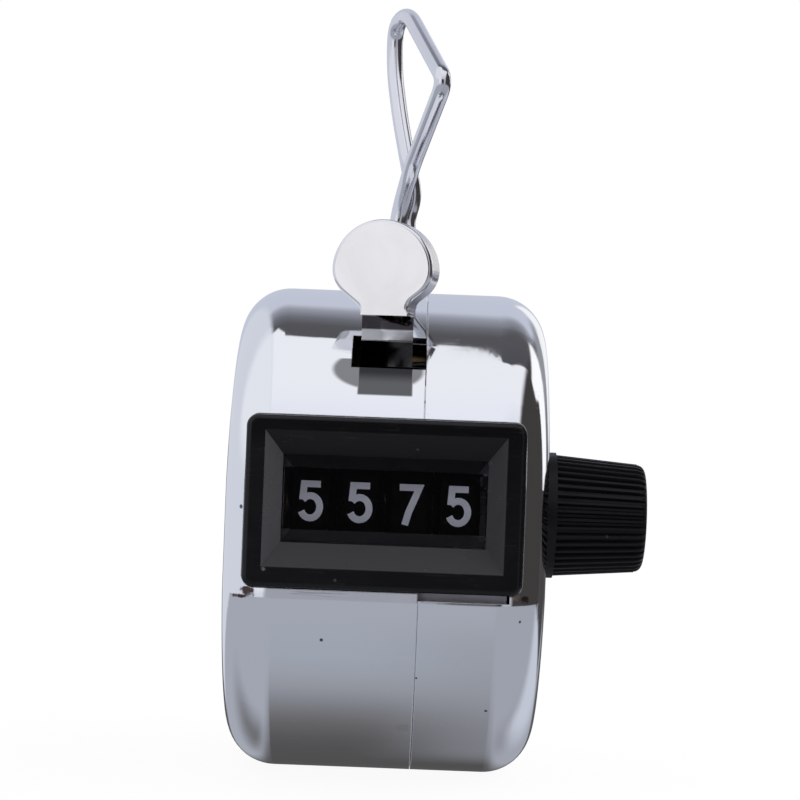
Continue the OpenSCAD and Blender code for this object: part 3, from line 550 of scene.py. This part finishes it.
def draw_lever():
    """The lever with the edge of its pad rounded, down to the fold at the pad's foot."""
    bm = merged("thumb_lever")
    bmesh.ops.remove_doubles(bm, verts=list(pad_front(bm).verts), dist=0.00006)
    front = pad_front(bm)
    facing = front.normal.copy()
    outline = [vert.co.copy() for vert in front.verts]
    fold = min(place.z for place in outline)
    moves = []
    for before, here, after in zip(outline[-1:] + outline, outline, outline[1:] + outline[:1]):
        rounding = PAD_ROUNDING * min(1.0, (here.z - fold) / (2 * PAD_ROUNDING))
        way = (here - before).normalized() + (after - here).normalized()
        moves.append((facing.cross(way).normalized() * rounding, facing * rounding))
    for k in range(PAD_STEPS + 1):
        angle = math.radians(90) * k / PAD_STEPS
        if k:
            bmesh.ops.inset_individual(bm, faces=[front], thickness=0.000001)
        for vert, place, (inward, outward) in zip(front.verts, outline, moves):
            vert.co = place + inward * (1 - math.cos(angle)) - outward * (1 - math.sin(angle))
    piece = new_piece("thumb_lever_rounded", bm, "lever", "nickel", "thumb_lever")
    piece.modifiers.new("shading", "WEIGHTED_NORMAL")


def rounded_path(path, bends, steps=8):
    """The path with each corner turned into a smooth bend that starts this far from the corner."""
    points = [path[0]]
    for before, corner, after, reach in zip(path, path[1:], path[2:], bends):
        to_before, to_after = before - corner, after - corner
        start = corner + to_before.normalized() * min(reach, 0.48 * to_before.length)
        end = corner + to_after.normalized() * min(reach, 0.48 * to_after.length)
        for k in range(steps + 1):
            t = k / steps
            points.append((1 - t) ** 2 * start + 2 * t * (1 - t) * corner + t ** 2 * end)
    return points + [path[-1]]


def round_wire(points, width, sides=24):
    """Tube along the points, extruded from one ring to the next."""
    ways = [(b - a).normalized() for a, b in zip(points, points[1:])]
    turns = [ways[0]] + [(a + b).normalized() for a, b in zip(ways, ways[1:])] + [ways[-1]]
    bm = bmesh.new()
    ring = bmesh.ops.create_circle(bm, segments=sides, radius=width / 2)["verts"]
    bmesh.ops.transform(bm, verts=ring, matrix=turns[0].to_track_quat("Z", "Y").to_matrix().to_4x4())
    bmesh.ops.translate(bm, verts=ring, vec=points[0])
    edges = list(bm.edges)
    for here, there, way, next_way in zip(points, points[1:], turns, turns[1:]):
        made = bmesh.ops.extrude_edge_only(bm, edges=edges)["geom"]
        ring = [g for g in made if isinstance(g, bmesh.types.BMVert)]
        turn = way.rotation_difference(next_way).to_matrix()
        for vert in ring:
            vert.co = there + turn @ (vert.co - here)
        edges = [g for g in made if isinstance(g, bmesh.types.BMEdge) and all(v in ring for v in g.verts)]
    bmesh.ops.holes_fill(bm, edges=[e for e in bm.edges if e.is_boundary], sides=sides)
    bmesh.ops.recalc_face_normals(bm, faces=bm.faces)
    return bm


# Finger ring, in mm: wire, place of the tails, the drum's top, and turn about the upright
RING_WIRE = 1.6
RING_X, RING_Y, RING_TOP, RING_YAW = 14.9, 3.0, 22.5, math.radians(13)
# Length of the feet, gap between the tails, height of the feet, and ends of the straight tails above the drum
RING_FEET, RING_GAP, RING_FOOT_Z = 2.6, 1.8, 20.0075
TAIL_LEFT, TAIL_RIGHT = 5.2, 3.5
# How far from its corner each bend of the tails starts
FOOT_REACH, LEFT_REACH, RIGHT_REACH = 0.9, 1.4, 1.2
# Bends of the loop in its own plane: towards the window side, across, height above the drum, and reach
RING_BENDS = [(-0.2, -0.6, 8, 1.6), (1.6, 0, 12.1, 2.0), (13.7, 0, 18.95, 2.2), (-2.4, 0, 27.5, 3.2),
              (-8.1, 0, 27, 2.6), (-7.4, 0, 22.2, 2.2), (-4, 0, 17.2, 2.2), (-0.9, 0.35, 12.2, 1.3),
              (-1.2, 1.05, 9.6, 1.2), (-1.6, 0.4, 7, 1.3)]


def draw_ring():
    """The ring's wire from foot to foot, with smooth bends."""
    left, right = RING_X - RING_GAP / 2, RING_X + RING_GAP / 2
    path = [(left - RING_FEET, RING_Y, RING_FOOT_Z), (left, RING_Y, RING_FOOT_Z),
            (left, RING_Y, RING_TOP + TAIL_LEFT)]
    reaches = [FOOT_REACH, LEFT_REACH]
    for ahead, across, height, reach in RING_BENDS:
        path.append((RING_X + ahead * math.sin(RING_YAW) + across * math.cos(RING_YAW),
                     RING_Y - ahead * math.cos(RING_YAW) + across * math.sin(RING_YAW), RING_TOP + height))
        reaches.append(reach)
    path += [(right, RING_Y, RING_TOP + TAIL_RIGHT), (right, RING_Y, RING_FOOT_Z),
             (right + RING_FEET, RING_Y, RING_FOOT_Z)]
    reaches += [RIGHT_REACH, FOOT_REACH]
    points = rounded_path([Vector(point) * MM for point in path], [reach * MM for reach in reaches])
    new_piece("finger_ring_drawn", round_wire(points, RING_WIRE * MM), "ring", "ring_wire", "finger_ring")


def soft_spring():
    """The lever's spring, drawn smooth from the imported model's mesh."""
    spring = new_piece("lever_spring_drawn", merged("lever_spring"), "root", "spring_steel", "lever_spring")
    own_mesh(spring)


draw_lever()
draw_ring()
soft_spring()


# Numerals, printed on the wheels

# Width of a stroke and length of its pieces, in mm
NUMERAL_WIDTH, NUMERAL_SPACING = 0.60, 0.16
# Degrees from one numeral to the next, and of the shown one above the wheel's foremost line
NUMERAL_TURN, NUMERAL_LIFT = 36, 5.5
# How far the print stands off the wheel, and its thickness, in metres
PRINT_LIFT, PRINT_DEPTH = 0.00001, 0.00003
NUMERAL_PRINT = numeral_print()


def bend(x, z, across, up, start, end, steps=18):
    """Points on an oval arc, with its angles in degrees."""
    return [
        (x + across * math.cos(math.radians(a)), z + up * math.sin(math.radians(a)))
        for a in (start + (end - start) * k / steps for k in range(steps + 1))
    ]


# Strokes of the numerals 0 to 9, across and up from the middle, in mm
NUMERALS = [
    [bend(0, 0.66, 0.84, 0.86, 0, 180) + bend(0, -0.66, 0.84, 0.86, 180, 360) + [(0.84, 0.66)]],
    [[(-0.62, 0.86), (0.18, 1.50), (0.18, -1.80)]],
    [bend(0, 0.68, 0.82, 0.84, 168, -32) + [(-0.80, -1.50), (0.90, -1.50)]],
    [bend(-0.03, 0.73, 0.78, 0.79, 158, -84), bend(-0.03, -0.66, 0.86, 0.86, 84, -158)],
    [[(0.30, 1.80), (-0.86, -0.78), (0.96, -0.78)], [(0.42, 0.30), (0.42, -1.80)]],
    [[(0.84, 1.50), (-0.60, 1.50), (-0.70, 0.10)], bend(-0.02, -0.52, 0.84, 0.98, 142, -156)],
    [bend(0, -0.62, 0.84, 0.90, 0, 360, 28), [(-0.84, -0.62), (-0.72, 0.24), (-0.22, 1.10), (0.36, 1.74)]],
    [[(-0.88, 1.50), (0.84, 1.50), (0.50, 0.62), (-0.02, -0.64), (-0.34, -1.80)]],
    [bend(0, 0.78, 0.70, 0.72, -90, 270, 26), bend(0, -0.70, 0.85, 0.80, 90, 450, 28)],
    [bend(0, 0.62, 0.84, 0.90, 0, 360, 28), [(0.84, 0.62), (0.72, -0.24), (0.22, -1.10), (-0.36, -1.74)]],
]


def even_points(path, gap):
    """The same path with points no further apart than the gap."""
    points = [Vector(path[0])]
    for end in map(Vector, path[1:]):
        start = points[-1]
        count = max(1, math.ceil((end - start).length / gap))
        points += [start.lerp(end, k / count) for k in range(1, count + 1)]
    return points


def stroke(bm, path, lay):
    """One printed stroke: an edge across the line, extruded from point to point."""
    points = even_points(path, NUMERAL_SPACING)
    closed = (points[0] - points[-1]).length < 0.01
    edge = None
    for i, point in enumerate(points):
        before = points[i - 1] if i else (points[-2] if closed else point)
        after = points[i + 1] if i + 1 < len(points) else (points[1] if closed else point)
        way_in = (point - before).normalized() if before != point else (after - point).normalized()
        way_out = (after - point).normalized() if after != point else way_in
        middle = (way_in + way_out).normalized()
        spread = NUMERAL_WIDTH / 2 / max(0.5, middle.dot(way_out))
        side = Vector((-middle.y, middle.x)) * spread
        ends = [lay(point + side), lay(point - side)]
        if edge is None:
            verts = [bm.verts.new(end) for end in ends]
            edge = bm.edges.new(verts)
            first = list(verts)
        else:
            made = bmesh.ops.extrude_edge_only(bm, edges=[edge])["geom"]
            edge = next(g for g in made if isinstance(g, bmesh.types.BMEdge) and len(g.link_faces) == 1
                        and not set(g.verts) & set(verts))
            old = verts
            fresh = list(edge.verts)
            if not any(e.other_vert(fresh[0]) is old[0] for e in fresh[0].link_edges):
                fresh.reverse()
            for vert, end in zip(fresh, ends):
                vert.co = end
            verts = fresh
    if closed:
        bmesh.ops.remove_doubles(bm, verts=first + verts, dist=0.00002)


def print_numerals(wheel, shown):
    """The ten numerals of a wheel, with the shown one at the window."""
    low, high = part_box(f"wheel_{wheel}")
    middle = (low[0] + high[0]) / 2
    radius = WHEEL_R + PRINT_LIFT
    bm = bmesh.new()
    for value, strokes in enumerate(NUMERALS):
        centre = math.radians(NUMERAL_LIFT + NUMERAL_TURN * (value - shown))

        def lay(point, centre=centre):
            angle = centre + point.y * MM / radius
            ahead, aloft = radius * math.cos(angle), radius * math.sin(angle)
            return (middle + point.x * MM, AXLE_Y - ahead, AXLE_Z + aloft)

        for path in strokes:
            stroke(bm, path, lay)
    bmesh.ops.recalc_face_normals(bm, faces=bm.faces)
    for face in bm.faces:
        place = face.calc_center_median()
        if face.normal.dot(place - Vector((place.x, AXLE_Y, AXLE_Z))) < 0:
            face.normal_flip()
    piece = linked(f"numerals_{wheel}", bm)
    piece.data.materials.append(NUMERAL_PRINT)
    depth = piece.modifiers.new("print_depth", "SOLIDIFY")
    depth.thickness = PRINT_DEPTH
    depth.offset = -1.0
    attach(piece, wheel)


for wheel, value in (("thousands", 5), ("hundreds", 5), ("tens", 7), ("units", 5)):
    print_numerals(wheel, value)


# Room: pale floor, world and camera

def make_floor():
    """Pale floor that holds the shadow; polished metal sees the room's own lower half in its place."""
    bm = bmesh.new()
    bmesh.ops.create_grid(bm, x_segments=1, y_segments=1, size=2.0)
    bmesh.ops.translate(bm, verts=bm.verts, vec=(0, 0, case_low[2] - 0.00003))
    floor = linked("floor", bm)
    material = bpy.data.materials.new("pale_floor")
    material.use_nodes = True
    tree = material.node_tree
    shader = tree.nodes["Principled BSDF"]
    shader.inputs["Base Color"].default_value = (0.86, 0.86, 0.87, 1)
    shader.inputs["Roughness"].default_value = 0.9
    shader.inputs["Specular IOR Level"].default_value = 0.0
    light = add(tree, "ShaderNodeLightPath")
    shown = mixed(tree, calc(tree, "MULTIPLY", light.outputs["Is Camera Ray"], 0.93), shader.outputs[0],
                  add(tree, "ShaderNodeEmission").outputs[0])
    bounced = calc(tree, "MAXIMUM", light.outputs["Is Glossy Ray"], light.outputs["Is Diffuse Ray"])
    shown = mixed(tree, bounced, shown, add(tree, "ShaderNodeBsdfTransparent").outputs[0])
    wire(tree, shown, tree.nodes["Material Output"].inputs["Surface"])
    floor.data.materials.append(material)


# Light of the room by the angle above the front horizon, going up and over to the back
ROOM_BANDS = [
    (-180, (0.10, 0.10, 0.11)), (-150, (0.085, 0.082, 0.080)), (-127, (0.090, 0.088, 0.090)),
    (-116, (0.105, 0.102, 0.104)), (-104, (0.140, 0.136, 0.140)), (-95, (0.186, 0.186, 0.200)),
    (-86, (0.250, 0.258, 0.290)), (-78, (0.315, 0.325, 0.360)), (-69, (0.350, 0.370, 0.420)),
    (-60, (0.370, 0.405, 0.462)), (-33, (0.395, 0.412, 0.472)), (10, (0.45, 0.45, 0.50)),
    (40, (0.75, 0.76, 0.82)), (62, (0.86, 0.88, 0.95)), (84, (0.90, 0.91, 0.94)), (86, (0.080, 0.080, 0.092)),
    (112, (0.095, 0.095, 0.103)), (119, (0.160, 0.165, 0.190)), (128, (0.33, 0.34, 0.40)),
    (134, (0.56, 0.59, 0.69)), (180, (0.56, 0.59, 0.69)),
]


# Patches over the bands: light, share, and for each direction where the patch starts and is full
WALL = ("up", -0.26, -0.21)
LOWER_HALF = ("up", -0.21, -0.26)
BELOW_CAMERA = (("up", -0.066, -0.078), ("along", -0.9, -0.96))
ROOM_PATCHES = [
    # ceiling up to its edge
    ((0.89, 0.90, 0.95), 1.0, ("inside", -0.7, 0.7), ("plain", 60.0, 84.0)),
    # lower half: brighter to the right, then the two sides
    ((0.31, 0.32, 0.36), 0.6, ("across", -0.02, 0.05), ("up", -0.55, -0.85)),
    ((0.39, 0.41, 0.47), 1.0, ("across", -0.052, -0.20), LOWER_HALF),
    ((0.17, 0.17, 0.18), 1.0, ("across", -0.08, -0.30), ("along", 0.10, 0.55), ("up", -0.42, -0.80)),
    ((0.37, 0.385, 0.44), 1.0, ("across", 0.040, 0.20), LOWER_HALF),
    ((0.20, 0.20, 0.22), 0.5, ("across", 0.06, 0.30), ("along", 0.10, 0.55), ("up", -0.60, -0.90)),
    ((0.58, 0.61, 0.70), 1.0, ("across", 0.30, 0.60), ("along", 0.25, 0.52), ("up", -0.10, -0.16)),
    # bright wall to the left, brighter above and towards the front
    ((0.66, 0.685, 0.76), 1.0, ("across", -0.28, -0.38), WALL),
    ((0.82, 0.84, 0.90), 1.0, ("across", -0.28, -0.38), ("up", 0.22, 0.42), ("along", 0.52, 0.28)),
    ((0.90, 0.90, 0.93), 1.0, ("across", -0.20, -0.34), ("along", -0.60, -0.80), ("up", -0.090, -0.070)),
    # dark wall to the right, with a tall bright panel and dark again behind it
    ((0.052, 0.047, 0.046), 1.0, ("across", 0.58, 0.68), ("along", 0.52, 0.46), ("up", 0.86, 0.80), WALL),
    ((0.065, 0.06, 0.06), 1.0, ("across", 0.45, 0.55), ("beside", -0.02, 0.02), ("up", 0.62, 0.40), WALL),
    ((0.30, 0.31, 0.34), 1.0, ("across", 0.30, 0.42), ("behind", -0.06, 0.04), ("up", 0.02, 0.22),
     ("up", 0.50, 0.36)),
    ((1.05, 1.05, 1.07), 1.0, ("across", 0.40, 0.50), ("beside", -0.02, 0.02), ("behind", 0.05, -0.05),
     ("up", 0.64, 0.58), ("up", -0.02, 0.12)),
    # light from behind, at the far edge of the drum and of the pad
    ((0.92, 0.92, 0.95), 1.0, ("along", 0.84, 0.88), ("across", 0.36, 0.41), ("across", 0.50, 0.47),
     ("up", 0.03, 0.05), ("up", 0.5, 0.3)),
    ((0.95, 0.95, 0.98), 1.0, ("along", 0.86, 0.90), ("across", 0.16, 0.21), ("across", 0.50, 0.44),
     ("up", 0.02, 0.08)),
    # camera side, with the floor's light below it
    ((0.022, 0.022, 0.025), 1.0, ("along", -0.84, -0.93), ("across", -0.24, -0.16), ("across", 0.34, 0.22),
     ("up", 0.42, 0.30), WALL),
    ((0.36, 0.37, 0.42), 1.0, ("across", 0.026, 0.012), ("across", -0.30, -0.20), *BELOW_CAMERA),
    ((0.12, 0.115, 0.13), 1.0, ("across", 0.012, 0.026), ("across", 0.12, 0.08), *BELOW_CAMERA),
]


def make_room():
    """Light by direction: across to the right, along to the back, and up."""
    world = bpy.data.worlds.new("studio")
    bpy.context.scene.world = world
    world.use_nodes = True
    world.cycles.sampling_method = "NONE"
    tree = world.node_tree
    back = tree.nodes["Background"]
    way = add(tree, "ShaderNodeSeparateXYZ")
    wire(tree, add(tree, "ShaderNodeTexCoord").outputs["Generated"], way.inputs[0])
    across, along, up = way.outputs

    def angle_of(ahead):
        """Angle above the front horizon, in turns."""
        turn = calc(tree, "ARCTAN2", up, calc(tree, "MULTIPLY", ahead, -1.0))
        return calc(tree, "DIVIDE", turn, math.tau)

    def between(value, low, high):
        return calc(tree, "MINIMUM", calc(tree, "MAXIMUM", value, low), high)

    # bands, which slant to the sides above the horizon
    near = between(across, -0.05, 0.05)
    far = calc(tree, "MAXIMUM", calc(tree, "SUBTRACT", across, 0.05), 0.0)
    slant = calc(tree, "SUBTRACT", calc(tree, "MULTIPLY", near, 1.2), calc(tree, "MULTIPLY", far, 0.7))
    slant = calc(tree, "MULTIPLY", slant, step_between(tree, up, 0.0, 0.2))
    bands = add(tree, "ShaderNodeValToRGB")
    ramp = bands.color_ramp
    for at, light in ROOM_BANDS[1:-1]:
        ramp.elements.new(at / 360 + 0.5)
    for element, (at, light) in zip(ramp.elements, ROOM_BANDS):
        element.position = at / 360 + 0.5
        element.color = (*light, 1)
    wire(tree, calc(tree, "ADD", angle_of(calc(tree, "ADD", along, slant)), 0.5), bands.inputs["Fac"])

    # the ceiling's edge is further forward towards the right, and the bright panel slants with the wall
    plain = calc(tree, "MULTIPLY", angle_of(along), 360.0)
    tilt = calc(tree, "MULTIPLY", between(across, -0.2, 0.045), -46.0)
    edge = calc(tree, "SUBTRACT", calc(tree, "ADD", tilt, 103.0),
                step_between(tree, across, 0.028, 0.045, 0.0, 9.0))
    lean = step_between(tree, up, 0.38, 0.5, 0.60, 0.45)
    ways = {
        "across": across, "along": along, "up": up, "plain": plain,
        "inside": calc(tree, "SUBTRACT", edge, plain),
        "beside": calc(tree, "SUBTRACT", along, calc(tree, "MULTIPLY", across, lean)),
        "behind": calc(tree, "SUBTRACT", along, calc(tree, "MULTIPLY", across, 1.12)),
    }
    room = bands.outputs["Color"]
    for light, share, *limits in ROOM_PATCHES:
        for name, start, full in limits:
            share = calc(tree, "MULTIPLY", step_between(tree, ways[name], start, full), share)
        room = blend_colour(tree, share, room, (*light, 1))

    # soft light on what doesn't shine: more from the right and from above
    lamp = calc(tree, "ADD", step_between(tree, across, 0.30, 0.80, 0.55, 2.45),
                step_between(tree, up, 0.2, 0.8, 0.0, 0.5))
    path = add(tree, "ShaderNodeLightPath")
    # through the pane: the white background behind it, the room in front of it
    passed = path.outputs["Is Transmission Ray"]
    seen = calc(tree, "SUBTRACT", 1.0, passed)
    forward = calc(tree, "MULTIPLY", passed, step_between(tree, along, 0.05, -0.05))
    mirrored = calc(tree, "MAXIMUM", calc(tree, "MULTIPLY", path.outputs["Is Glossy Ray"], seen), forward)
    shown = blend_colour(tree, mirrored, grey(1.0), room)
    shown = blend_colour(tree, calc(tree, "MULTIPLY", path.outputs["Is Diffuse Ray"], seen), shown, lamp)
    wire(tree, shown, back.inputs["Color"])
    back.inputs["Strength"].default_value = 1.0


def make_camera():
    """The photograph's view: level, a little above and to the right of the drum's middle, and rolled."""
    camera = bpy.data.objects.new("camera", bpy.data.cameras.new("camera"))
    bpy.context.scene.collection.objects.link(camera)
    camera.data.sensor_width = 36.0
    camera.data.lens = 108.8
    camera.data.clip_start = 0.01
    camera.data.clip_end = 20.0
    camera.location = (0.0150, -0.230, 0.0123)
    camera.rotation_euler = (math.radians(90), math.radians(-2.2), 0)
    bpy.context.scene.camera = camera


make_floor()
make_room()
make_camera()

bpy.context.scene.view_settings.view_transform = "Standard"
